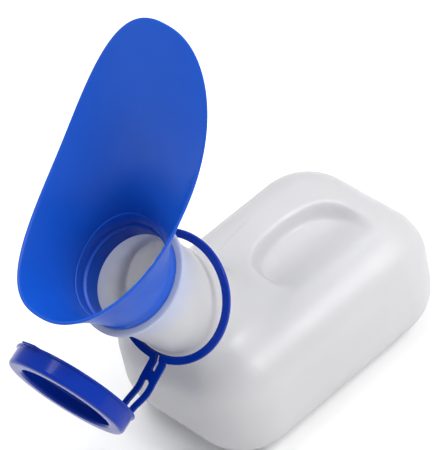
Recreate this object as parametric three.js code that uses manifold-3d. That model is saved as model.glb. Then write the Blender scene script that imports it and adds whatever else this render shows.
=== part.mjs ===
// Unisex urine bottle: a flat blow-moulded flask that lies on its broad face, a funnel adapter
// pushed into its raised neck, and a snap cap that hangs from a neck ring by a slotted strap.
// Frame, millimetres: +Z up, -X to the neck end, +Y to the handle side, origin in the middle
// of the flat base.

import * as THREE from 'three';
import { mergeVertices } from 'three/addons/utils/BufferGeometryUtils.js';
import Module from 'manifold-3d';

const wasm = await Module();
wasm.setup();

// ---- driving dimensions ------------------------------------------------------------------
const flask = { length: 176, width: 119, height: 78, planRadius: 36, edgeRadius: 30, wall: 1.8 };
const neck = {
  tilt: 57,                    // degrees of the neck axis above the base
  mouth: [-92, 0, 139],        // centre of the mouth
  length: 96,                  // mouth to the blind end of the axis inside the flask
  topRadius: 31, waistRadius: 28.6, waistDepth: 30,
  lipRadius: 34, lipHeight: 2.4, lipEase: 1.2,
  splitDepth: 50,              // where the neck's solid meets the shoulder's
  blend: 17,                   // size of the soft shoulder between neck and flask
};
const grip = {                 // blind finger recess beside the handle bar
  middle: [24.5, -14], halfLength: 37.5, reach: 31, squareness: 2.5,   // its arched outline
  depth: 9.5, wallRun: 7, fadeStart: -2, fadeRun: 38,
};
const funnel = {
  thickness: 1.8,
  spigot: { depth: 9, topRadius: 28.8, bottomRadius: 28 },
  collar: { radius: 30.6, height: 5 },
  // rim in the mid-plane, from the mouth: [towards the back, up along the axis]
  rim: { front: [-41.6, 50.6], back: [125, 80.7], halfWidth: 48, sag: 18, egg: 0.05, squareness: 2.38 },
  climb: 0.42, lean: 0.12,     // shares of the height and of the way out at the wall's bend
};
const ring = {
  depth: 39.2, offset: [1.1, -2.8],      // its middle: down the neck, towards the back and the side
  lean: 21.5, yaw: 9.7,
  innerRadius: 33.4, outerRadius: 38.1, height: 2.6,
};
const strap = {
  width: 11, thickness: 1.8,
  turn: -2,                    // degrees round the ring from its lowest point
  rootGap: 1.6,                // room between the ring and the strap, beside bendRoom
  knee: [-104.3, -2.5, 60.4], end: [-118.2, 5, 47],
  slotWidth: 2.2, railGap: 3.6,
  bendRoom: 1.5,               // left at each end of a link, so that it can bend there
};
const cap = {
  radius: 37.2, height: 12, rounding: 1.6, skirtInner: 35.6, deck: 2,
  recessRadius: 28, recessDepth: 8.2, plugRadius: 29.8, plugDepth: 10,
  flange: { radius: 38.2, thickness: 1.6 },
  normal: [-0.925, -0.106, -0.361],      // the way its outer face looks as it hangs
  towardStrap: [0.377, -0.278, -0.883],  // from its middle to the strap
  tab: { width: 13, reach: 3.6, thickness: 1.8 },
};
const gap = 0.3;               // clearance between pieces that touch
const around = 48;             // steps round each lofted shell

// ---- directions of the neck ----------------------------------------------------------------
const rad = THREE.MathUtils.degToRad;
const lerp = THREE.MathUtils.lerp;
const axis = new THREE.Vector3(-Math.cos(rad(neck.tilt)), 0, Math.sin(rad(neck.tilt)));
const back = new THREE.Vector3(Math.sin(rad(neck.tilt)), 0, Math.cos(rad(neck.tilt)));
const side = new THREE.Vector3(0, 1, 0);
const mouth = new THREE.Vector3(...neck.mouth);

// A point given from the mouth: up along the axis, towards the back, towards the handle side.
function fromMouth(up, toBack, toSide) {
  return mouth.clone().addScaledVector(axis, up).addScaledVector(back, toBack)
    .addScaledVector(side, toSide);
}

// ---- shape of the flask, as a distance that is negative inside --------------------------------
function flaskDistance(p) {
  const planX = Math.abs(p.x) - flask.length / 2 + flask.planRadius;
  const planY = Math.abs(p.y) - flask.width / 2 + flask.planRadius;
  const plan = Math.hypot(Math.max(planX, 0), Math.max(planY, 0))
    + Math.min(Math.max(planX, planY), 0) - flask.planRadius + flask.edgeRadius;
  const tall = Math.abs(p.z - flask.height / 2) - flask.height / 2 + flask.edgeRadius;
  return Math.hypot(Math.max(plan, 0), Math.max(tall, 0))
    + Math.min(Math.max(plan, tall), 0) - flask.edgeRadius;
}

function neckRadius(depth, hasLip) {
  const tube = lerp(neck.topRadius, neck.waistRadius,
    THREE.MathUtils.smoothstep(depth, 0, neck.waistDepth));
  if (!hasLip) return tube;
  const lip = 1 - THREE.MathUtils.smoothstep(depth, neck.lipHeight, neck.lipHeight + neck.lipEase);
  return lerp(tube, neck.lipRadius, lip);
}

function neckDistance(p, hasLip) {
  const offset = p.clone().sub(mouth);
  const depth = -offset.dot(axis);
  const radial = offset.addScaledVector(axis, depth).length();
  const beyond = Math.max(depth - neck.length, 0);
  return Math.hypot(radial, beyond) - neckRadius(depth, hasLip);
}

// How far the top of the flask is pressed down at a place. The wall is steep under the bar,
// which bows away towards its ends, and the floor rises gently to the other side.
function gripDepth(x, y) {
  const along = Math.abs(x - grip.middle[0]) / grip.halfLength;
  const across = Math.max(y - grip.middle[1], 0) / grip.reach;
  if (along >= 1 || across >= 1) return 0;
  const outline = (along ** grip.squareness + across ** grip.squareness) ** (1 / grip.squareness);
  const inward = (1 - outline) * grip.reach;
  const wall = THREE.MathUtils.smoothstep(inward, 0, grip.wallRun);
  const floor = 1 - THREE.MathUtils.smoothstep(-y, grip.fadeStart, grip.fadeStart + grip.fadeRun);
  return grip.depth * wall * floor;
}

function softMin(a, b, size) {
  const share = Math.max(size - Math.abs(a - b), 0) / size;
  return Math.min(a, b) - share * share * size / 4;
}

function bottleDistance(p, hasLip) {
  return softMin(flaskDistance(p), neckDistance(p, hasLip), neck.blend);
}

// The point where a ray from inside meets the surface that lies `inset` below the outside, with
// the finger recess pressed down into the upper face.
function surfacePoint(origin, direction, inset) {
  let reach = 0;
  const p = origin.clone();
  for (let step = 0; step < 200; step += 1) {
    const left = -(bottleDistance(p, inset === 0) + inset);
    reach += left * 0.6;
    p.copy(origin).addScaledVector(direction, reach);
    if (Math.abs(left) < 1e-6) break;
  }
  const upperShare = THREE.MathUtils.smoothstep(p.z, flask.height * 0.3, flask.height * 0.55);
  p.z -= gripDepth(p.x, p.y) * upperShare;
  return p;
}

// Section planes: straight down the neck, fanned about a line above the shoulder, along the
// flask, then fanned again round its far end. Each has a centre, the way `out` that its first
// ray points, and how far its rays lean towards the far end.
function bottleSections() {
  const sections = [];
  const up = new THREE.Vector3(0, 0, 1);
  const middle = flask.height / 2;
  const depths = [0, neck.lipHeight, neck.lipHeight + neck.lipEase, 14, 26, 38, 48];
  for (const depth of depths) {
    sections.push({ centre: fromMouth(-depth, 0, 0), out: back, lean: 0 });
  }
  const pivotDepth = 52;
  const pivotReach = 60;
  const pivot = fromMouth(-pivotDepth, pivotReach, 0);
  const fanSteps = 10;
  for (let i = 0; i <= fanSteps; i += 1) {
    const turn = i / fanSteps;
    const out = back.clone().applyAxisAngle(side, -rad(neck.tilt) * turn);
    const reach = lerp(pivotReach, pivot.z - middle, turn);
    const centre = pivot.clone().addScaledVector(out, -reach);
    sections.push({ centre, out, lean: 0 });
  }
  const endX = flask.length / 2 - flask.planRadius;
  const straightSteps = 9;
  for (let i = 1; i <= straightSteps; i += 1) {
    const centre = new THREE.Vector3(lerp(pivot.x, endX, i / straightSteps), 0, middle);
    sections.push({ centre, out: up, lean: 0 });
  }
  const endSteps = 7;
  for (let i = 1; i < endSteps; i += 1) {
    const centre = new THREE.Vector3(endX, 0, middle);
    sections.push({ centre, out: up, lean: rad(90 * i / endSteps) });
  }
  return sections;
}

// The bottle's surface as rings of points, and the point that closes its far end.
function bottleRings(inset) {
  const toEnd = new THREE.Vector3(1, 0, 0);
  const sections = bottleSections();
  const rings = sections.map(({ centre, out, lean }) => circleOf((cos, sin) => {
    const flat = out.clone().multiplyScalar(cos).addScaledVector(side, sin);
    const direction = flat.multiplyScalar(Math.cos(lean)).addScaledVector(toEnd, Math.sin(lean));
    return surfacePoint(centre, direction, inset);
  }));
  return { rings, pole: surfacePoint(sections.at(-1).centre, toEnd, inset) };
}

function circleOf(pointAt, steps = around) {
  return Array.from({ length: steps }, (_, i) => {
    const angle = 2 * Math.PI * i / steps;
    return pointAt(Math.cos(angle), Math.sin(angle));
  });
}

// ---- meshes ----------------------------------------------------------------------------------
// Faces between two rings of points with the same count.
function addStrip(triangles, ringA, ringB) {
  const count = ringA.length;
  for (let i = 0; i < count; i += 1) {
    const j = (i + 1) % count;
    triangles.push([ringA[i], ringA[j], ringB[j]], [ringA[i], ringB[j], ringB[i]]);
  }
}

function addFan(triangles, ringA, tip) {
  for (let i = 0; i < ringA.length; i += 1) {
    triangles.push([ringA[i], ringA[(i + 1) % ringA.length], tip]);
  }
}

function signedVolume(triangles) {
  const cross = new THREE.Vector3();
  return triangles.reduce((sum, [a, b, c]) => sum + cross.crossVectors(b, c).dot(a) / 6, 0);
}

// One closed geometry from triangles of shared points, with its faces pointing out.
function closedGeometry(triangles) {
  const outward = signedVolume(triangles) > 0;
  const corners = triangles.flatMap(([a, b, c]) => (outward ? [a, b, c] : [a, c, b]));
  const geometry = new THREE.BufferGeometry().setFromPoints(corners);
  return mergeVertices(geometry, 1e-5);
}

// A closed band: the rings are joined in order and the last one back to the first.
function loopGeometry(rings) {
  const triangles = [];
  rings.forEach((points, i) => addStrip(triangles, points, rings[(i + 1) % rings.length]));
  return closedGeometry(triangles);
}

function toSolid(geometry) {
  const bare = geometry.clone();
  bare.deleteAttribute('normal');
  bare.deleteAttribute('uv');
  const merged = mergeVertices(bare, 1e-5);
  return new wasm.Manifold(new wasm.Mesh({
    numProp: 3,
    vertProperties: merged.attributes.position.array,
    triVerts: new Uint32Array(merged.index.array),
  }));
}

function fromSolid(solid) {
  const mesh = solid.getMesh();
  const geometry = new THREE.BufferGeometry();
  geometry.setAttribute('position', new THREE.BufferAttribute(mesh.vertProperties, 3));
  geometry.setIndex(new THREE.BufferAttribute(mesh.triVerts, 1));
  return geometry;
}

function bottleSolid() {
  const outer = bottleRings(0);
  const inner = bottleRings(flask.wall);
  const triangles = [];
  outer.rings.slice(1).forEach((points, i) => addStrip(triangles, outer.rings[i], points));
  addFan(triangles, outer.rings.at(-1), outer.pole);
  inner.rings.slice(1).forEach((points, i) => addStrip(triangles, points, inner.rings[i]));
  addFan(triangles, inner.rings.at(-1).toReversed(), inner.pole);
  addStrip(triangles, inner.rings[0], outer.rings[0]);
  return toSolid(closedGeometry(triangles));
}

// The part of a solid on one side of a plane: on the side that `normal` points to.
function cutAway(solid, point, normal) {
  const size = 600;
  const block = new THREE.BoxGeometry(size, size, size);
  block.translate(0, 0, size / 2);
  block.applyQuaternion(new THREE.Quaternion().setFromUnitVectors(new THREE.Vector3(0, 0, 1), normal));
  block.translate(point.x, point.y, point.z);
  return solid.intersect(toSolid(block));
}

// The one-piece bottle as three shells that a hair's gap keeps apart: neck, upper and lower flask.
function bottleParts() {
  const up = new THREE.Vector3(0, 0, 1);
  const whole = bottleSolid();
  const middle = (offset) => new THREE.Vector3(0, 0, flask.height / 2 + offset);
  const below = cutAway(whole, fromMouth(-neck.splitDepth - gap / 2, 0, 0), axis.clone().negate());
  return {
    neck: fromSolid(cutAway(whole, fromMouth(-neck.splitDepth + gap / 2, 0, 0), axis)),
    flaskUpper: fromSolid(cutAway(below, middle(gap / 2), up)),
    flaskLower: fromSolid(cutAway(below, middle(-gap / 2), up.clone().negate())),
  };
}

// Rings of the funnel from the foot of its spigot to its rim, `inset` inside its outer face.
function funnelRings(inset) {
  const { spigot, collar, rim } = funnel;
  const circle = (up, radius) => circleOf((cos, sin) => fromMouth(up, radius * cos, radius * sin));
  const foot = collar.radius - inset;
  const rings = [
    circle(-spigot.depth, spigot.bottomRadius - inset),
    circle(gap, spigot.topRadius - inset),
    circle(inset === 0 ? gap : collar.height / 2, foot),
  ];
  const front = new THREE.Vector2(...rim.front);
  const far = new THREE.Vector2(...rim.back);
  const middle = front.clone().add(far).multiplyScalar(0.5);
  const half = far.clone().sub(front).multiplyScalar(0.5);
  const reach = 1 - inset / half.length();
  const blunt = (value) => Math.sign(value) * Math.abs(value) ** (2 / rim.squareness);
  const wallSteps = 9;
  for (let step = 0; step <= wallSteps; step += 1) {
    rings.push(circleOf((cos, sin) => {
      const along = blunt(cos) * reach;
      const dip = rim.sag * (1 - blunt(cos) ** 2);
      const end = new THREE.Vector3(
        middle.x + half.x * along,
        (rim.halfWidth - inset) * blunt(sin) * (1 + rim.egg * blunt(cos)),
        middle.y + half.y * along - dip,
      );
      const start = new THREE.Vector3(foot * cos, foot * sin, collar.height);
      const knee = start.clone().lerp(end, funnel.lean);
      knee.z = lerp(start.z, end.z, funnel.climb);
      const p = new THREE.QuadraticBezierCurve3(start, knee, end).getPoint(step / wallSteps);
      return fromMouth(p.z, p.x, p.y);
    }));
  }
  return rings;
}

// The one-piece funnel as its scoop and its spigot.
function funnelParts() {
  const rings = [...funnelRings(0), ...funnelRings(funnel.thickness).reverse()];
  const whole = toSolid(loopGeometry(rings));
  const split = funnel.collar.height + gap;
  return {
    scoop: fromSolid(cutAway(whole, fromMouth(split + gap / 2, 0, 0), axis)),
    spigot: fromSolid(cutAway(whole, fromMouth(split - gap / 2, 0, 0), axis.clone().negate())),
  };
}

// A turned piece from its closed [radius, height] profile, about Z.
function turnedGeometry(profile, steps = around) {
  const points = profile.map(([radius, height]) => new THREE.Vector2(radius, height));
  const geometry = new THREE.LatheGeometry(points, steps);
  geometry.rotateX(Math.PI / 2);
  return geometry;
}

function ringGeometry() {
  const { innerRadius, outerRadius, height } = ring;
  const ease = 0.6;
  const half = height / 2;
  return fromSolid(toSolid(turnedGeometry([
    [innerRadius, -half + ease], [innerRadius + ease, -half], [outerRadius - ease, -half],
    [outerRadius, -half + ease], [outerRadius, half - ease], [outerRadius - ease, half],
    [innerRadius + ease, half], [innerRadius, half - ease], [innerRadius, -half + ease],
  ])));
}

// One link of the strap along +X from the origin: a ribbon with a slot, across Y, centred on Z.
function linkGeometry(length, slotWidth, slotStart, slotEnd) {
  const halfWidth = strap.width / 2;
  const outline = new THREE.Shape();
  outline.moveTo(0, -halfWidth);
  outline.lineTo(length, -halfWidth);
  outline.lineTo(length, halfWidth);
  outline.lineTo(0, halfWidth);
  outline.closePath();
  const slot = new THREE.Path();
  slot.moveTo(slotStart, -slotWidth / 2);
  slot.lineTo(slotEnd, -slotWidth / 2);
  slot.lineTo(slotEnd, slotWidth / 2);
  slot.lineTo(slotStart, slotWidth / 2);
  slot.closePath();
  outline.holes.push(slot);
  const geometry = new THREE.ExtrudeGeometry(outline, { depth: strap.thickness, bevelEnabled: false });
  geometry.translate(0, 0, -strap.thickness / 2);
  return fromSolid(toSolid(geometry));
}

// The snap cap about Z: outer face up at +height, skirt and flange down to 0, strap side at +X.
function capGeometry() {
  const { radius, height, rounding, skirtInner, deck, recessRadius, plugRadius, flange } = cap;
  const recessFloor = height - cap.recessDepth;
  const plugFoot = height - cap.plugDepth;
  const shell = toSolid(turnedGeometry([
    [0, plugFoot], [plugRadius, plugFoot], [plugRadius, height - deck], [skirtInner, height - deck],
    [skirtInner, 0], [flange.radius, 0], [flange.radius, flange.thickness],
    [radius, flange.thickness], [radius, height - rounding],
    [radius - rounding * 0.3, height - rounding * 0.3], [radius - rounding, height],
    [recessRadius + rounding / 2, height], [recessRadius, height - rounding / 2],
    [recessRadius, recessFloor + 1], [recessRadius - 1, recessFloor], [0, recessFloor],
  ]));
  const { width, reach, thickness } = cap.tab;
  const bar = new THREE.BoxGeometry(reach + 2, width, thickness);
  bar.translate(-(flange.radius + reach / 2 - 1), 0, thickness / 2);
  return fromSolid(shell.add(toSolid(bar)));
}

// ---- pieces ----------------------------------------------------------------------------------
const milky = new THREE.MeshStandardMaterial({ color: 0xdcdee2, roughness: 0.45, metalness: 0 });
const blue = new THREE.MeshStandardMaterial({ color: 0x1a50c8, roughness: 0.35, metalness: 0 });
const navy = new THREE.MeshStandardMaterial({ color: 0x0c2a9c, roughness: 0.3, metalness: 0 });

function named(name, geometry, material) {
  const mesh = new THREE.Mesh(geometry, material);
  mesh.name = name;
  return mesh;
}

// Turns and places a mesh so that its X runs along `forward` and its Z as near `up` as it can.
function place(mesh, origin, forward, up) {
  const x = forward.clone().normalize();
  const y = up.clone().cross(x).normalize();
  const z = x.clone().cross(y);
  mesh.quaternion.setFromRotationMatrix(new THREE.Matrix4().makeBasis(x, y, z));
  mesh.position.copy(origin);
  return mesh;
}

function ringDirections() {
  const normal = axis.clone()
    .addScaledVector(back, -Math.tan(rad(ring.lean)))
    .addScaledVector(side, -Math.tan(rad(ring.yaw))).normalize();
  const lowest = new THREE.Vector3(0, 0, -1).projectOnPlane(normal).normalize();
  return { normal, lowest, centre: fromMouth(-ring.depth, ...ring.offset) };
}

function neckRing() {
  const { normal, lowest, centre } = ringDirections();
  return place(named('neck_ring', ringGeometry(), navy), centre, lowest, normal);
}

// Where the strap leaves the ring's outer edge.
function strapRoot() {
  const { normal, lowest, centre } = ringDirections();
  const outward = lowest.applyAxisAngle(normal, rad(strap.turn));
  return centre.addScaledVector(outward, ring.outerRadius + strap.rootGap);
}

function strapLink(name, from, to, slotWidth) {
  const start = from.clone();
  const span = to.clone().sub(from);
  const length = span.length() - 2 * strap.bendRoom;
  const across = side.clone().projectOnPlane(span);
  const mesh = named(name, linkGeometry(length, slotWidth, 2, length - 2), navy);
  start.addScaledVector(span.clone().normalize(), strap.bendRoom);
  return place(mesh, start, span, span.clone().cross(across));
}

function snapCap() {
  const normal = new THREE.Vector3(...cap.normal).normalize();
  const towardStrap = new THREE.Vector3(...cap.towardStrap).projectOnPlane(normal).normalize();
  const centre = new THREE.Vector3(...strap.end)
    .addScaledVector(towardStrap, -(cap.flange.radius + gap));
  return place(named('cap', capGeometry(), navy), centre, towardStrap, normal);
}

const bottleShells = bottleParts();
const funnelShells = funnelParts();
const strapKnee = new THREE.Vector3(...strap.knee);
const strapEnd = new THREE.Vector3(...strap.end);
const urineBottle = new THREE.Group();
urineBottle.add(
  named('flask_lower', bottleShells.flaskLower, milky),
  named('flask_upper', bottleShells.flaskUpper, milky),
  named('neck', bottleShells.neck, milky),
  named('funnel_scoop', funnelShells.scoop, blue),
  named('funnel_spigot', funnelShells.spigot, blue),
  neckRing(),
  strapLink('strap_upper', strapRoot(), strapKnee, strap.slotWidth),
  strapLink('strap_lower', strapKnee, strapEnd, strap.railGap),
  snapCap(),
);

export default urineBottle;
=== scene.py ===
"""Urine bottle: a milky blow-moulded flask with a blue funnel adapter and a navy cap on a strap.

The fine surfaces are made here from the same few dimensions as the CAD parts, in millimetres
until the mesh is written. The bottle, the funnel, the ring, the cap and the strap take the place
of their CAD nodes. The mould seam is extra.
"""

import math

import bmesh
import bpy
import numpy as np
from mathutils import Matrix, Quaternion, Vector


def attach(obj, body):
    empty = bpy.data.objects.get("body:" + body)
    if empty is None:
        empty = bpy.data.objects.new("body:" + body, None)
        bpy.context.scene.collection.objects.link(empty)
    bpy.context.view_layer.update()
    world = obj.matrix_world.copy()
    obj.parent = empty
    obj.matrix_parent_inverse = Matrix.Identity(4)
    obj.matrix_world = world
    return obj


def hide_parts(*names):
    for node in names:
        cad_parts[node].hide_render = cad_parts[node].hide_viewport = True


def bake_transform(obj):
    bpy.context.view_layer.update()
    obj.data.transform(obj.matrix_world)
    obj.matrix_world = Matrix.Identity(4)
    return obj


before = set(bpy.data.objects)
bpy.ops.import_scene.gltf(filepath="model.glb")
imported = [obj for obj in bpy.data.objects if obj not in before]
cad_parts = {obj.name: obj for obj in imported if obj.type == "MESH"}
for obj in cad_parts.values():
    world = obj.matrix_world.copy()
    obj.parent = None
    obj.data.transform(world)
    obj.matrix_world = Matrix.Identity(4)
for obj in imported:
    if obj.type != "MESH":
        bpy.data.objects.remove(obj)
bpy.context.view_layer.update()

MM = 0.001

# ---- driving dimensions, millimetres ---------------------------------------------------------
# They are the CAD parts' own. The visual adds or refines the lip's edge and ease, the funnel's step
# and bead, the ring's rounding and bridge, the strap's slots, edge and ends, and the mould seam.
FLASK = dict(length=176, width=119, height=78, plan_radius=36, edge_radius=30, wall=1.8)
NECK = dict(tilt=57, mouth=(-92, 0, 139), length=96, top_radius=31, waist_radius=28.6,
            waist_depth=30, lip_radius=34, lip_height=2.4, lip_edge=1.1, lip_ease=1.4, blend=17)
# the line that the shoulder's section planes turn about: down the neck, and towards the back
PIVOT = dict(depth=52, reach=60)
GRIP = dict(middle=(24.5, -14), half_length=37.5, reach=31, squareness=2.5, depth=9.5, wall_run=7,
            fade_start=-2, fade_run=38, from_height=0.3, to_height=0.55)
# the seam's two ends [x, y], its half width there, what it gains in the middle, its height as a
# share of its width, and how far its middle lies under the surface
SEAM = dict(start=(-13.0, 27.4), end=(24.0, 33.0), thin=0.04, swell=0.42, flat=0.6, sunk=0.1)
FUNNEL = dict(thickness=1.8, spigot_depth=9, spigot_top=28.8, spigot_foot=28, collar_radius=30.6,
              collar_height=5, front=(-41.6, 50.6), back=(125, 80.7), half_width=48, sag=18,
              egg=0.05, squareness=2.38, climb=0.42, lean=0.12,
              step_at=0.11, step_run=0.004, step=0.45, bead=0.75)
RING = dict(depth=39.2, offset=(1.1, -2.8), lean=21.5, yaw=9.7, inner=33.4, outer=38.1, height=2.6,
            rounding=0.9, bridge=0.6)   # bridge: left at the inner edge, beyond the strap's slot
STRAP = dict(width=11, thickness=1.8, turn=-2, knee=(-104.3, -2.5, 60.4), end=(-118.2, 5, 47),
             slot=2.2, rail_gap=3.6, short_slot=(-2, 9.5), long_slot=(15.5, 43), bend=3,
             inside_ring=2.6, leaving=1.6, before_cap=0.6, inside_cap=1.4, edge=0.45)
CAP = dict(radius=37.2, height=12, skirt_inner=35.6, deck=2, recess=28, recess_depth=8.2,
           plug=29.8, plug_depth=10, flange=38.2, flange_thickness=1.6,
           normal=(-0.925, -0.106, -0.361), toward_strap=(0.377, -0.278, -0.883),
           tab_width=13, tab_reach=3.6, lug_reach=1)
GAP = 0.3               # clearance between pieces that touch
MARCH_STEPS = 140       # steps of each ray to the bottle's surface
MARCH_SHARE = 0.6       # share of the distance left that each step goes

TILT = math.radians(NECK["tilt"])
AXIS = np.array([-math.cos(TILT), 0, math.sin(TILT)])    # out of the mouth
BACK = np.array([math.sin(TILT), 0, math.cos(TILT)])     # across the neck, up and back
SIDE = np.array([0.0, 1.0, 0.0])                         # to the handle bar
MOUTH = np.array(NECK["mouth"], float)


def smoothstep(value, low, high):
    t = np.clip((value - low) / (high - low), 0, 1)
    return t * t * (3 - 2 * t)


def lerp(a, b, t):
    return a + (b - a) * t


def soft_min(a, b, size):
    share = np.maximum(size - np.abs(a - b), 0) / size
    return np.minimum(a, b) - share * share * size / 4


def unit(vector):
    vector = np.asarray(vector, float)
    return vector / np.linalg.norm(vector)


def from_mouth(up, to_back, to_side):
    """A point given along the neck axis, across it to the back, and to the handle side."""
    return MOUTH + np.multiply.outer(up, AXIS) + np.multiply.outer(to_back, BACK) \
        + np.multiply.outer(to_side, SIDE)


# ---- shape of the bottle, a distance that is negative inside -------------------------------
def flask_distance(p):
    f = FLASK
    plan_x = np.abs(p[..., 0]) - f["length"] / 2 + f["plan_radius"]
    plan_y = np.abs(p[..., 1]) - f["width"] / 2 + f["plan_radius"]
    plan = np.hypot(np.maximum(plan_x, 0), np.maximum(plan_y, 0)) \
        + np.minimum(np.maximum(plan_x, plan_y), 0) - f["plan_radius"] + f["edge_radius"]
    tall = np.abs(p[..., 2] - f["height"] / 2) - f["height"] / 2 + f["edge_radius"]
    return np.hypot(np.maximum(plan, 0), np.maximum(tall, 0)) \
        + np.minimum(np.maximum(plan, tall), 0) - f["edge_radius"]


def neck_distance(p, inset):
    offset = p - MOUTH
    depth = -offset @ AXIS
    radial = np.linalg.norm(offset + depth[..., None] * AXIS, axis=-1)
    beyond = np.maximum(depth - NECK["length"], 0)
    tube = lerp(NECK["top_radius"], NECK["waist_radius"], smoothstep(depth, 0, NECK["waist_depth"]))
    if inset == 0:
        # the lip is a flat collar with a rounded edge and a soft root
        edge = NECK["lip_edge"]
        into = np.clip((edge - depth) / edge, 0, 1)
        under = smoothstep(depth, NECK["lip_height"], NECK["lip_height"] + NECK["lip_ease"])
        lip = NECK["lip_radius"] - edge * (1 - np.sqrt(1 - into ** 2))
        tube = lerp(lip, tube, under)
    return np.hypot(radial, beyond) - tube


def grip_depth(x, y):
    """How deep the recess beside the handle bar is pressed: an arched wall, then a fading floor."""
    g = GRIP
    along = np.abs(x - g["middle"][0]) / g["half_length"]
    across = np.maximum(y - g["middle"][1], 0) / g["reach"]
    outline = (along ** g["squareness"] + across ** g["squareness"]) ** (1 / g["squareness"])
    inward = (1 - outline) * g["reach"]
    wall = smoothstep(inward, 0, g["wall_run"])
    floor = 1 - smoothstep(-y, g["fade_start"], g["fade_start"] + g["fade_run"])
    return g["depth"] * wall * floor


def bottle_distance(p, inset):
    return soft_min(flask_distance(p), neck_distance(p, inset), NECK["blend"]) + inset


def surface_points(origins, directions, inset):
    """Where rays from inside meet the surface `inset` below the outside, with the grip pressed in."""
    reach = np.zeros(origins.shape[:-1])
    for _ in range(MARCH_STEPS):
        reach -= bottle_distance(origins + reach[..., None] * directions, inset) * MARCH_SHARE
    p = origins + reach[..., None] * directions
    height = FLASK["height"]
    upper = smoothstep(p[..., 2], height * GRIP["from_height"], height * GRIP["to_height"])
    p[..., 2] -= grip_depth(p[..., 0], p[..., 1]) * upper
    return p


def spaced(start, end, count):
    return np.linspace(start, end, count, endpoint=False)


def bottle_sections():
    """Section planes down the neck, round the shoulder, along the flask and round its end."""
    middle = FLASK["height"] / 2
    centres, outs, leans = [], [], []

    def add(centre, out, lean):
        centres.append(centre)
        outs.append(out)
        leans.append(lean)

    lip_depths = [0, 0.08, 0.3, 0.6, 1.1, 1.8, 2.4, 2.75, 3.1, 3.5, 4.0, 5.0, 7.0]
    for depth in [*lip_depths, *np.arange(9, PIVOT["depth"], 1.6)]:
        add(from_mouth(-depth, 0, 0), BACK, 0)
    pivot = from_mouth(-PIVOT["depth"], PIVOT["reach"], 0)
    for turn in spaced(0, 1, 64):
        angle = math.radians(NECK["tilt"]) * turn
        out = np.array([math.sin(TILT - angle), 0, math.cos(TILT - angle)])
        centre = pivot - out * lerp(PIVOT["reach"], pivot[2] - middle, turn)
        add(centre, out, 0)
    up = np.array([0.0, 0.0, 1.0])
    end_x = FLASK["length"] / 2 - FLASK["plan_radius"]
    for x in spaced(pivot[0], end_x, 84):
        add((x, 0, middle), up, 0)
    for lean in spaced(0, math.pi / 2, 44):
        add((end_x, 0, middle), up, lean)
    return np.array(centres), np.array(outs), np.array(leans)


def bottle_rings(inset, around):
    """The bottle's surface as rings of points, and the point that closes its far end."""
    centres, outs, leans = bottle_sections()
    angles = spaced(0, 2 * math.pi, around)
    flat = outs[:, None] * np.cos(angles)[None, :, None] \
        + SIDE * np.sin(angles)[None, :, None]
    to_end = np.array([1.0, 0.0, 0.0])
    rays = flat * np.cos(leans)[:, None, None] + to_end * np.sin(leans)[:, None, None]
    origins = np.broadcast_to(centres[:, None], rays.shape)
    rings = surface_points(origins, rays, inset)
    pole = surface_points(centres[-1:], to_end[None], inset)[0]
    return rings, pole


# ---- meshes ----------------------------------------------------------------------------------
def mesh_object(name, points, faces, smooth_angle=35):
    mesh = bpy.data.meshes.new(name)
    mesh.from_pydata([tuple(p * MM) for p in np.asarray(points, float)], [], faces)
    mesh.validate()
    piece = bpy.data.objects.new(name, mesh)
    bpy.context.scene.collection.objects.link(piece)
    outward(piece)
    mesh.shade_smooth()
    mesh.set_sharp_from_angle(angle=math.radians(smooth_angle))
    return piece


def outward(piece):
    """Turns the faces of a closed piece to point out."""
    cage = bmesh.new()
    cage.from_mesh(piece.data)
    bmesh.ops.recalc_face_normals(cage, faces=cage.faces)
    if cage.calc_volume(signed=True) < 0:
        bmesh.ops.reverse_faces(cage, faces=cage.faces)
    cage.to_mesh(piece.data)
    cage.free()


def strip_faces(rows, around, first=0, loop=False):
    """Quads between rows of `around` points each; `loop` joins the last row to the first."""
    faces = []
    for row in range(rows if loop else rows - 1):
        a = first + row * around
        b = first + ((row + 1) % rows) * around
        for i in range(around):
            j = (i + 1) % around
            faces.append((a + i, a + j, b + j, b + i))
    return faces


def bottle_piece():
    """The one-piece shell: outer skin, inner skin and the lip that joins them."""
    around = 264
    outer, outer_pole = bottle_rings(0, around)
    inner, inner_pole = bottle_rings(FLASK["wall"], around)
    rows = len(outer)
    count = rows * around
    points = np.vstack([outer.reshape(-1, 3), inner.reshape(-1, 3), outer_pole, inner_pole])
    faces = strip_faces(rows, around) + strip_faces(rows, around, count)
    for start, pole in ((0, 2 * count), (count, 2 * count + 1)):
        last = start + (rows - 1) * around
        faces += [(last + i, last + (i + 1) % around, pole) for i in range(around)]
    faces += [(i, (i + 1) % around, count + (i + 1) % around, count + i) for i in range(around)]
    return mesh_object("bottle_shell", points, faces, 50)


# ---- the funnel --------------------------------------------------------------------------------
FUNNEL_ANGLES = spaced(0, 2 * math.pi, 192)     # every ring of the funnel has these


def circle(up, radius):
    """A ring of [to back, to side, up] points round the neck axis."""
    return np.stack([radius * np.cos(FUNNEL_ANGLES), radius * np.sin(FUNNEL_ANGLES),
                     np.full_like(FUNNEL_ANGLES, up)], -1)


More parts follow.
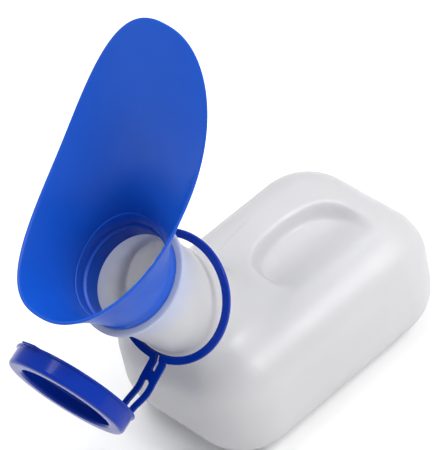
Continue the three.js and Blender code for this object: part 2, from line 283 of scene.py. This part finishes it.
def funnel_wall(inset, wall_steps=56):
    """Rings from the collar to the rim, `inset` inside the outer face."""
    f = FUNNEL
    cos, sin = np.cos(FUNNEL_ANGLES), np.sin(FUNNEL_ANGLES)

    def blunt(value):
        return np.sign(value) * np.abs(value) ** (2 / f["squareness"])

    front, far = np.array(f["front"]), np.array(f["back"])
    middle, half = (front + far) / 2, (far - front) / 2
    along = blunt(cos) * (1 - inset / np.linalg.norm(half))
    rim = np.stack([
        middle[0] + half[0] * along,
        (f["half_width"] - inset) * blunt(sin) * (1 + f["egg"] * blunt(cos)),
        middle[1] + half[1] * along - f["sag"] * (1 - blunt(cos) ** 2),
    ], -1)
    foot = circle(f["collar_height"], f["collar_radius"] - inset)
    knee = lerp(foot, rim, f["lean"])
    knee[:, 2] = lerp(foot[:, 2], rim[:, 2], f["climb"])
    # the collar's wall is a little narrower than the bowl's, up to a fine step
    narrow = np.stack([-cos, -sin, np.zeros_like(cos)], -1) * f["step"]
    below, above = f["step_at"], f["step_at"] + f["step_run"]
    wall = []
    for t in sorted([*np.linspace(0, 1, wall_steps + 1), below, above]):
        at_outer_foot = inset == 0 and t == 0
        share = 0 if at_outer_foot else 1 - smoothstep(t, below, above)
        wall.append((1 - t) ** 2 * foot + 2 * t * (1 - t) * knee + t ** 2 * rim + narrow * share)
    return wall


def funnel_piece():
    """The one-piece funnel: spigot, collar and scoop, with a rounded bead along the rim."""
    f = FUNNEL
    thick, depth = f["thickness"], f["spigot_depth"]
    top, foot, collar = f["spigot_top"], f["spigot_foot"], f["collar_radius"]
    outer_wall, inner_wall = funnel_wall(0), funnel_wall(thick)
    spigot_outside = [
        circle(-depth, foot - 1.1),
        circle(-depth + 0.25, foot - 0.45),
        circle(-depth + 0.9, foot - 0.1),
        circle(-depth * 0.6, lerp(foot, top, 0.4)),
        circle(-0.6, top - 0.05),
        circle(GAP, top),
    ]
    collar_outside = [
        circle(GAP, collar - 0.7),
        circle(GAP + 0.2, collar - 0.2),
        circle(GAP + 0.7, collar),
    ]
    inner_foot, ledge = collar - thick, top - thick
    collar_inside = [
        circle(2.6, inner_foot),
        circle(1.9, inner_foot - 0.15),
        circle(1.6, inner_foot - 0.5),
    ]
    spigot_inside = [
        circle(1.5, ledge + 0.25),
        circle(1.2, ledge - 0.05),
        circle(-depth * 0.5, lerp(ledge, foot - thick, 0.5)),
        circle(-depth + 0.5, foot - thick),
        circle(-depth, foot - thick + 0.5),
    ]
    rim_out, rim_in = outer_wall[-1], inner_wall[-1]
    lean = outer_wall[-1] - outer_wall[-3]
    lean /= np.linalg.norm(lean, axis=-1, keepdims=True)
    bead = [lerp(rim_out, rim_in, 0.5 - 0.5 * math.cos(a)) + lean * f["bead"] * math.sin(a)
            for a in np.linspace(0, math.pi, 9)]
    rings = np.array([*spigot_outside, *collar_outside, *outer_wall[:-1], *bead,
                      *inner_wall[-2:0:-1], *collar_inside, *spigot_inside])
    points = from_mouth(rings[..., 2], rings[..., 0], rings[..., 1])
    faces = strip_faces(len(rings), rings.shape[1], 0, loop=True)
    return mesh_object("funnel_shell", points.reshape(-1, 3), faces, 40)


# ---- the ring and the cap ----------------------------------------------------------------------
def rounded_profile(corners, radius, steps=5):
    """A closed outline through rounded corners, as [radius, height] points."""
    outline = []
    count = len(corners)
    for i in range(count):
        before, here, after = (np.array(corners[(i + k) % count], float) for k in (-1, 0, 1))
        cut = min(radius, np.linalg.norm(before - here) * 0.45, np.linalg.norm(after - here) * 0.45)
        start = here + unit(before - here) * cut
        end = here + unit(after - here) * cut
        for t in np.linspace(0, 1, steps + 1):
            outline.append((1 - t) ** 2 * start + 2 * t * (1 - t) * here + t ** 2 * end)
    return outline


def turned_rings(profile, around):
    """A [radius, height] profile turned about Z."""
    angles = spaced(0, 2 * math.pi, around)
    return np.array([[(r * math.cos(a), r * math.sin(a), z) for a in angles] for r, z in profile])


def basis(forward, up):
    """A turn that takes X along `forward` and Z as near `up` as it can."""
    x = unit(forward)
    y = unit(np.cross(up, x))
    return np.column_stack([x, y, np.cross(x, y)])


def ring_frame():
    """The ring's middle, and its turn: X to its lowest point, Z out of its face."""
    normal = unit(AXIS - math.tan(math.radians(RING["lean"])) * BACK
                  - math.tan(math.radians(RING["yaw"])) * SIDE)
    down = np.array([0, 0, -1.0])
    lowest = unit(down - normal * (down @ normal))
    return from_mouth(-RING["depth"], *RING["offset"]), basis(lowest, normal)


def ring_piece():
    half = RING["height"] / 2
    profile = rounded_profile([(RING["inner"], -half), (RING["outer"], -half),
                               (RING["outer"], half), (RING["inner"], half)], RING["rounding"])
    rings = turned_rings(profile, 144)
    centre, turn = ring_frame()
    points = rings.reshape(-1, 3) @ turn.T + centre
    ring = mesh_object("neck_ring_moulding", points, strip_faces(len(rings), 144, 0, loop=True))
    cut_slot(ring, centre, turn)
    return ring


def cut_slot(ring, centre, turn):
    """Runs the strap's short slot up through the ring's band, to a thin bridge at its inner edge."""
    half, deep = STRAP["slot"] / 2, RING["height"]
    low, high = RING["inner"] + RING["bridge"] + half, RING["outer"] + 2
    turns = np.linspace(-math.pi / 2, math.pi / 2, 13)
    arc = [(low - half * math.cos(a), half * math.sin(a)) for a in turns]
    outline = [(high, -half), *arc, (high, half)]
    count = len(outline)
    angle = math.radians(STRAP["turn"])
    along = np.array([math.cos(angle), math.sin(angle), 0])
    across = np.array([-math.sin(angle), math.cos(angle), 0])
    corners = [u * along + v * across + np.array([0, 0, z]) for z in (-deep, deep) for u, v in outline]
    faces = strip_faces(2, count) + [tuple(range(count)), tuple(range(count, 2 * count))]
    cutter = mesh_object("slot_cutter", np.array(corners) @ turn.T + centre, faces)
    cut = ring.modifiers.new("slot", "BOOLEAN")
    cut.operation = "DIFFERENCE"
    cut.solver = "EXACT"
    cut.object = cutter
    bpy.context.view_layer.objects.active = ring
    bpy.ops.object.modifier_apply(modifier=cut.name)
    bpy.data.objects.remove(cutter, do_unlink=True)
    ring.data.shade_smooth()
    ring.data.set_sharp_from_angle(angle=math.radians(35))


def cap_frame():
    """The cap's middle, and its turn: X to the strap, Z out of its outer face."""
    normal = unit(CAP["normal"])
    toward = np.array(CAP["toward_strap"], float)
    toward = unit(toward - normal * (toward @ normal))
    centre = np.array(STRAP["end"], float) - toward * (CAP["flange"] + GAP)
    return centre, basis(toward, normal)


def flange_reach(angle):
    """How far the flange stands out at an angle: the thumb tab opposite the strap, and the lug."""
    c = CAP
    half_tab = c["tab_width"] / 2 / c["flange"]
    half_lug = STRAP["width"] * 0.62 / c["flange"]
    from_tab = abs(math.pi - angle)
    from_lug = min(angle, 2 * math.pi - angle)
    tab = 1 - smoothstep(from_tab, half_tab * 0.72, half_tab * 1.12)
    lug = 1 - smoothstep(from_lug, half_lug * 0.8, half_lug * 1.5)
    return c["tab_reach"] * tab + c["lug_reach"] * lug


def cap_piece():
    """The snap cap: a turned section whose flange swells into the thumb tab and the strap's lug."""
    c = CAP
    top = c["height"]
    floor = top - c["recess_depth"]
    # corners of the turned section with the radius that rounds each
    corners = [
        (c["plug"], top - c["plug_depth"], 0.8), (c["plug"], top - c["deck"], 0.6),
        (c["skirt_inner"], top - c["deck"], 0.6), (c["skirt_inner"], 0, 0.4), (c["flange"], 0, 0.6),
        (c["flange"], c["flange_thickness"], 0.6), (c["radius"], c["flange_thickness"], 0.4),
        (c["radius"], top, 2.4), (c["recess"], top, 2.0), (c["recess"], floor, 1.4),
    ]
    spots = np.array([(0, corners[0][1]), *(corner[:2] for corner in corners), (0, floor)], float)
    profile = []
    for i, (_, _, radius) in enumerate(corners, 1):
        here = spots[i]
        start = here + unit(spots[i - 1] - here) * radius
        end = here + unit(spots[i + 1] - here) * radius
        for t in np.linspace(0, 1, 7):
            profile.append((1 - t) ** 2 * start + 2 * t * (1 - t) * here + t ** 2 * end)
    around = 240
    rings = turned_rings(profile, around)
    reach = np.array([flange_reach(a) for a in spaced(0, 2 * math.pi, around)])
    flange_foot = c["radius"] + 0.1
    flange_top = c["flange_thickness"] + 0.5
    for row, (radius, height) in enumerate(profile):
        share = np.clip((radius - flange_foot) / (c["flange"] - flange_foot), 0, 1)
        if height <= flange_top:
            rings[row, :, :2] *= (1 + share * reach / radius)[:, None]
    rows = len(rings)
    points = rings.reshape(-1, 3)
    poles = np.array([[0, 0, corners[0][1]], [0, 0, floor]])
    faces = strip_faces(rows, around)
    last = (rows - 1) * around
    faces += [(i, (i + 1) % around, rows * around) for i in range(around)]
    faces += [(last + i, last + (i + 1) % around, rows * around + 1) for i in range(around)]
    centre, turn = cap_frame()
    return mesh_object("cap_moulding", np.vstack([points, poles]) @ turn.T + centre, faces)


# ---- the strap, three lengths of one ribbon --------------------------------------------------
def strap_line():
    """The ribbon's middle from inside the ring to inside the cap's flange, and its width there."""
    centre, turn = ring_frame()
    angle = math.radians(STRAP["turn"])
    outward_here = turn @ np.array([math.cos(angle), math.sin(angle), 0])
    root = centre + outward_here * RING["outer"]
    knee = np.array(STRAP["knee"], float)
    end = np.array(STRAP["end"], float)
    _, cap_turn = cap_frame()
    inside_ring = root - outward_here * STRAP["inside_ring"]
    leaving = root + outward_here * STRAP["leaving"]
    before_cap = end + cap_turn[:, 0] * STRAP["before_cap"]
    inside_cap = end - cap_turn[:, 0] * STRAP["inside_cap"]
    stops = [inside_ring, root, leaving, lerp(leaving, knee, 0.55), knee, lerp(knee, end, 0.5),
             before_cap, inside_cap]
    widths = [turn @ np.array([-math.sin(angle), math.cos(angle), 0]), cap_turn[:, 1]]
    return np.array(stops), widths


def smooth_line(stops, count):
    """A Catmull-Rom line through the stops, spaced evenly along its length."""
    padded = np.vstack([2 * stops[0] - stops[1], stops, 2 * stops[-1] - stops[-2]])
    fine = []
    for i in range(1, len(padded) - 2):
        p0, p1, p2, p3 = padded[i - 1:i + 3]
        for t in spaced(0, 1, 40):
            fine.append(0.5 * (2 * p1 + (p2 - p0) * t + (2 * p0 - 5 * p1 + 4 * p2 - p3) * t ** 2
                               + (3 * p1 - p0 - 3 * p2 + p3) * t ** 3))
    fine = np.array([*fine, stops[-1]])
    length = np.concatenate([[0], np.cumsum(np.linalg.norm(np.diff(fine, axis=0), axis=1))])
    even = np.linspace(0, length[-1], count)
    line = np.stack([np.interp(even, length, fine[:, k]) for k in range(3)], -1)
    return line, even


def slot_half_width(at, slot, width):
    """Half the width of a round-ended slot at a distance along the strap."""
    low, high = slot
    into = min(at - low, high - at)
    if into <= 0:
        return 0.0
    half = width / 2
    return half if into >= half else math.sqrt(half ** 2 - (half - into) ** 2)


def strap_pieces():
    """The ribbon in three lengths, cut between the slots and half way from the knee to the cap."""
    s = STRAP
    stops, (width_at_ring, width_at_cap) = strap_line()
    line, at = smooth_line(stops, 181)
    total = at[-1]
    along = np.gradient(line, axis=0)
    share = smoothstep(at, total * 0.3, total * 0.95)[:, None]
    if width_at_ring @ width_at_cap < 0:
        width_at_ring = -width_at_ring
    across = lerp(width_at_ring, width_at_cap, share)
    along /= np.linalg.norm(along, axis=1, keepdims=True)
    across -= along * np.sum(across * along, axis=1, keepdims=True)
    across /= np.linalg.norm(across, axis=1, keepdims=True)
    face = np.cross(along, across)
    first_cut = np.searchsorted(at, (s["short_slot"][1] + s["long_slot"][0]) / 2)
    middle_of_lower = lerp(np.array(s["knee"]), np.array(s["end"]), 0.5)
    second_cut = int(np.argmin(np.linalg.norm(line - middle_of_lower, axis=1)))
    rows = list(zip(line, across, face, at))
    stretches = {
        "strap_at_ring": rows[:first_cut + 1],
        "strap_middle": rows[first_cut:second_cut + 1],
        "strap_at_cap": rows[second_cut:],
    }
    return [ribbon(name, stretch) for name, stretch in stretches.items()]


def ribbon(name, rows):
    """A closed length of strap from its cross-sections, each in two halves that a slot may part."""
    s = STRAP
    half = s["thickness"] / 2
    cage = bmesh.new()
    sections = []
    for middle, across, face, at in rows:
        gap = max(slot_half_width(at, s["short_slot"], s["slot"]),
                  slot_half_width(at, s["long_slot"], s["rail_gap"]))
        section = {}
        for hand in (-1, 1):
            outline = rail_outline(gap, s["width"] / 2, half, s["edge"])
            section[hand] = [cage.verts.new(tuple((middle + hand * w * across + h * face) * MM))
                             for w, h in outline]
        sections.append((gap, section))
    for (gap_a, a), (gap_b, b) in zip(sections, sections[1:]):
        for hand in (-1, 1):
            count = len(a[hand])
            for i in range(count):
                # the inner wall is there only where the slot is open
                if i == count - 1 and gap_a <= 0 and gap_b <= 0:
                    continue
                j = (i + 1) % count
                quad = (a[hand][i], a[hand][j], b[hand][j], b[hand][i])
                cage.faces.new(quad if hand > 0 else quad[::-1])
    for _, section in (sections[0], sections[-1]):
        for hand in (-1, 1):
            cage.faces.new(section[hand])
    bmesh.ops.remove_doubles(cage, verts=cage.verts, dist=0.02 * MM)
    bmesh.ops.recalc_face_normals(cage, faces=cage.faces)
    mesh = bpy.data.meshes.new(name)
    cage.to_mesh(mesh)
    cage.free()
    piece = bpy.data.objects.new(name, mesh)
    bpy.context.scene.collection.objects.link(piece)
    mesh.shade_smooth()
    mesh.set_sharp_from_angle(angle=math.radians(50))
    return piece


def rail_outline(inner, outer, half, edge):
    """Half the strap's section, [across, thickness] points: closed along the slot's wall."""
    turn = np.linspace(0, math.pi / 2, 5)
    outline = [(inner, -half)]
    outline += [(outer - edge + edge * math.sin(a), -half + edge - edge * math.cos(a)) for a in turn]
    outline += [(outer - edge + edge * math.cos(a), half - edge + edge * math.sin(a)) for a in turn]
    outline.append((inner, half))
    return outline


# ---- the mould seam that shows on the handle bar ---------------------------------------------
def seam_piece():
    """A fine ridge along the bar, half sunk into it, that dies away at both ends."""
    s = SEAM
    start, end = np.array(s["start"]), np.array(s["end"])
    steps, around = 90, 10
    turns = spaced(0, 2 * math.pi, around)
    along = unit([*(end - start), 0])
    across = np.cross([0, 0, 1], along)
    rings = []
    for share in np.linspace(0, 1, steps):
        x, y = lerp(start, end, share)
        foot = np.array([[x, y, FLASK["height"] / 2]])
        top = surface_points(foot, np.array([[0.0, 0, 1]]), s["sunk"])[0]
        thick = s["thin"] + s["swell"] * math.sin(math.pi * share) ** 0.7
        rings.append([top + thick * (math.cos(a) * across + math.sin(a) * np.array([0, 0, s["flat"]]))
                      for a in turns])
    faces = strip_faces(steps, around)
    faces += [tuple(range(around)), tuple(range((steps - 1) * around, steps * around))]
    return mesh_object("mould_seam", np.reshape(rings, (-1, 3)), faces)


# ---- materials -------------------------------------------------------------------------------
def new_material(name, look):
    """A moulded plastic: the look's constants on the shader, cloudiness and grain from noise."""
    material = bpy.data.materials.new(name)
    material.use_nodes = True
    nodes, links = material.node_tree.nodes, material.node_tree.links
    shader = nodes["Principled BSDF"]
    for socket, value in look["constants"].items():
        shader.inputs[socket].default_value = value
    place = nodes.new("ShaderNodeTexCoord")

    def noise(scale, detail, roughness=0.5):
        node = nodes.new("ShaderNodeTexNoise")
        node.inputs["Scale"].default_value = scale
        node.inputs["Detail"].default_value = detail
        node.inputs["Roughness"].default_value = roughness
        links.new(place.outputs["Object"], node.inputs["Vector"])
        return node.outputs["Fac"]

    def ramp(source, low, high):
        # noise lies mostly between 0.3 and 0.7
        node = nodes.new("ShaderNodeMapRange")
        node.inputs["From Min"].default_value = 0.3
        node.inputs["From Max"].default_value = 0.7
        node.inputs["To Min"].default_value = low
        node.inputs["To Max"].default_value = high
        links.new(source, node.inputs["Value"])
        return node.outputs["Result"]

    cloud = nodes.new("ShaderNodeMix")
    cloud.data_type = "RGBA"
    cloud.inputs["A"].default_value = (*look["dark"], 1)
    cloud.inputs["B"].default_value = (*look["light"], 1)
    links.new(ramp(noise(look["cloud_scale"], 3), 0, 1), cloud.inputs["Factor"])
    colour = cloud.outputs["Result"]
    # painted see-through: the blue spigot showing through the neck is painted into the bottle's colour
    if "painted_see_through" in look:
        colour = paint_see_through(material.node_tree, place, colour, look["painted_see_through"])
    links.new(colour, shader.inputs["Base Color"])
    links.new(ramp(noise(look["cloud_scale"] * 3, 4), *look["roughness"]), shader.inputs["Roughness"])
    grain = nodes.new("ShaderNodeBump")
    grain.inputs["Strength"].default_value = look["grain_strength"]
    grain.inputs["Distance"].default_value = look["grain_depth"]
    links.new(noise(look["grain_scale"], 4, 0.6), grain.inputs["Height"])
    waves = nodes.new("ShaderNodeBump")
    waves.inputs["Strength"].default_value = look["wave_strength"]
    waves.inputs["Distance"].default_value = look["wave_depth"]
    links.new(noise(look["wave_scale"], 2), waves.inputs["Height"])
    links.new(grain.outputs["Normal"], waves.inputs["Normal"])
    links.new(waves.outputs["Normal"], shader.inputs["Normal"])
    return material


def paint_see_through(tree, place, colour, look):
    """The colour with a painted see-through blue, where the spigot shows through the neck: it fades in
    up the neck axis, strongest at the mouth.
    """
    height = tree.nodes.new("ShaderNodeVectorMath")
    height.operation = "DOT_PRODUCT"
    height.inputs[1].default_value = tuple(AXIS)
    tree.links.new(place.outputs["Object"], height.inputs[0])
    fade = tree.nodes.new("ShaderNodeMapRange")
    fade.interpolation_type = "SMOOTHSTEP"
    top = float(MOUTH @ AXIS)
    low, high = look["fade"]
    fade.inputs["From Min"].default_value = (top - low) * MM
    fade.inputs["From Max"].default_value = (top - high) * MM
    fade.inputs["To Max"].default_value = look["share"]
    tree.links.new(height.outputs["Value"], fade.inputs["Value"])
    see_through_mix = tree.nodes.new("ShaderNodeMix")
    see_through_mix.data_type = "RGBA"
    tree.links.new(fade.outputs["Result"], see_through_mix.inputs["Factor"])
    tree.links.new(colour, see_through_mix.inputs["A"])
    see_through_mix.inputs["B"].default_value = (*look["colour"], 1)
    return see_through_mix.outputs["Result"]


LOOKS = {
    "milky_plastic": dict(
        dark=(0.735, 0.735, 0.755), light=(0.77, 0.77, 0.79), cloud_scale=14, roughness=(0.36, 0.46),
        grain_scale=1400, grain_strength=0.25, grain_depth=0.00008,
        wave_scale=22, wave_strength=0.35, wave_depth=0.0009,
        # the blue spigot shows faintly through the neck, painted into the colour as a see-through
        # blue: how far below the mouth it fades in, mm
        painted_see_through=dict(colour=(0.30, 0.45, 1.0), share=0.35, fade=(30, 2)),
        constants={"Subsurface Weight": 0.3, "Subsurface Radius": (1.0, 1.05, 1.2),
                   "Subsurface Scale": 0.006, "IOR": 1.5, "Transmission Weight": 0.45}),
    "funnel_blue": dict(
        dark=(0.004, 0.062, 0.40), light=(0.006, 0.074, 0.46), cloud_scale=18, roughness=(0.30, 0.40),
        grain_scale=1600, grain_strength=0.3, grain_depth=0.00006,
        wave_scale=30, wave_strength=0.2, wave_depth=0.0004,
        constants={"Subsurface Weight": 0.08, "Subsurface Radius": (0.3, 0.6, 1.6),
                   "Subsurface Scale": 0.002, "IOR": 1.5, "Specular IOR Level": 0.22}),
    "cap_navy": dict(
        dark=(0.001, 0.020, 0.25), light=(0.002, 0.028, 0.31), cloud_scale=24, roughness=(0.12, 0.2),
        grain_scale=1800, grain_strength=0.25, grain_depth=0.00005,
        wave_scale=40, wave_strength=0.2, wave_depth=0.0003,
        constants={"IOR": 1.5, "Specular IOR Level": 0.14}),
}


# ---- setting: floor, light and camera --------------------------------------------------------
def floor_piece():
    half = 6.0
    mesh = bpy.data.meshes.new("floor")
    mesh.from_pydata([(-half, -half, 0), (half, -half, 0), (half, half, 0), (-half, half, 0)], [],
                     [(0, 1, 2, 3)])
    floor = bpy.data.objects.new("floor", mesh)
    bpy.context.scene.collection.objects.link(floor)
    pale = bpy.data.materials.new("pale_floor")
    pale.use_nodes = True
    shader = pale.node_tree.nodes["Principled BSDF"]
    shader.inputs["Base Color"].default_value = (0.93, 0.93, 0.93, 1)
    shader.inputs["Roughness"].default_value = 0.8
    mesh.materials.append(pale)


def softbox(name, place, target, size, power):
    light = bpy.data.lights.new(name, "AREA")
    light.shape = "RECTANGLE"
    light.size, light.size_y = size
    light.energy = power
    lamp = bpy.data.objects.new(name, light)
    lamp.location = place
    lamp.rotation_euler = (Vector(target) - Vector(place)).to_track_quat("-Z", "Y").to_euler()
    bpy.context.scene.collection.objects.link(lamp)


def studio():
    bpy.context.scene.view_settings.view_transform = "Standard"
    world = bpy.data.worlds.new("studio_world")
    bpy.context.scene.world = world
    world.use_nodes = True
    sky = world.node_tree.nodes["Background"]
    sky.inputs["Color"].default_value = (1, 1, 1, 1)
    sky.inputs["Strength"].default_value = 0.6
    middle = (0, 0, 0.1)
    softbox("key_light", (0.5, -1.2, 1.5), middle, (0.8, 0.8), 26)
    softbox("top_light", (-0.2, 0.3, 1.9), middle, (1.0, 1.0), 22)


def camera():
    azimuth, elevation, roll = math.radians(-35.7), math.radians(42.36), math.radians(-12.8)
    aim = Vector((-0.0453, -0.0240, 0.1542))
    distance = 1.7214
    back = Vector((math.sin(azimuth) * math.cos(elevation),
                   -math.cos(azimuth) * math.cos(elevation), math.sin(elevation)))
    data = bpy.data.cameras.new("view")
    data.lens = 255
    data.sensor_width = 36
    eye = bpy.data.objects.new("view", data)
    eye.location = aim + back * distance
    eye.rotation_mode = "QUATERNION"
    eye.rotation_quaternion = (-back).to_track_quat("-Z", "Y") @ Quaternion((0, 0, 1), roll)
    bpy.context.scene.collection.objects.link(eye)
    bpy.context.scene.camera = eye


# ---- assembly --------------------------------------------------------------------------------
def finish_piece(piece, slot):
    piece.data.materials.append(MATERIALS[slot])


MATERIALS = {slot: new_material(slot, look) for slot, look in LOOKS.items()}
camera()
studio()
floor_piece()

rigid = [
    (bottle_piece(), "bottle", "milky_plastic", ("flask_lower", "flask_upper", "neck")),
    (seam_piece(), "bottle", "milky_plastic", ()),
    (funnel_piece(), "funnel", "funnel_blue", ("funnel_scoop", "funnel_spigot")),
    (ring_piece(), "ring", "cap_navy", ("neck_ring",)),
    (cap_piece(), "cap", "cap_navy", ("cap",)),
]
for piece, body, slot, stands_for in rigid:
    finish_piece(piece, slot)
    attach(piece, body)
    if stands_for:
        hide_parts(*stands_for)

at_ring, strap_middle, at_cap = strap_pieces()
for piece in (at_ring, strap_middle, at_cap):
    finish_piece(piece, "cap_navy")
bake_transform(at_ring)
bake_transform(strap_middle)
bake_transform(at_cap)
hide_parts("strap_upper")
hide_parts("strap_lower")
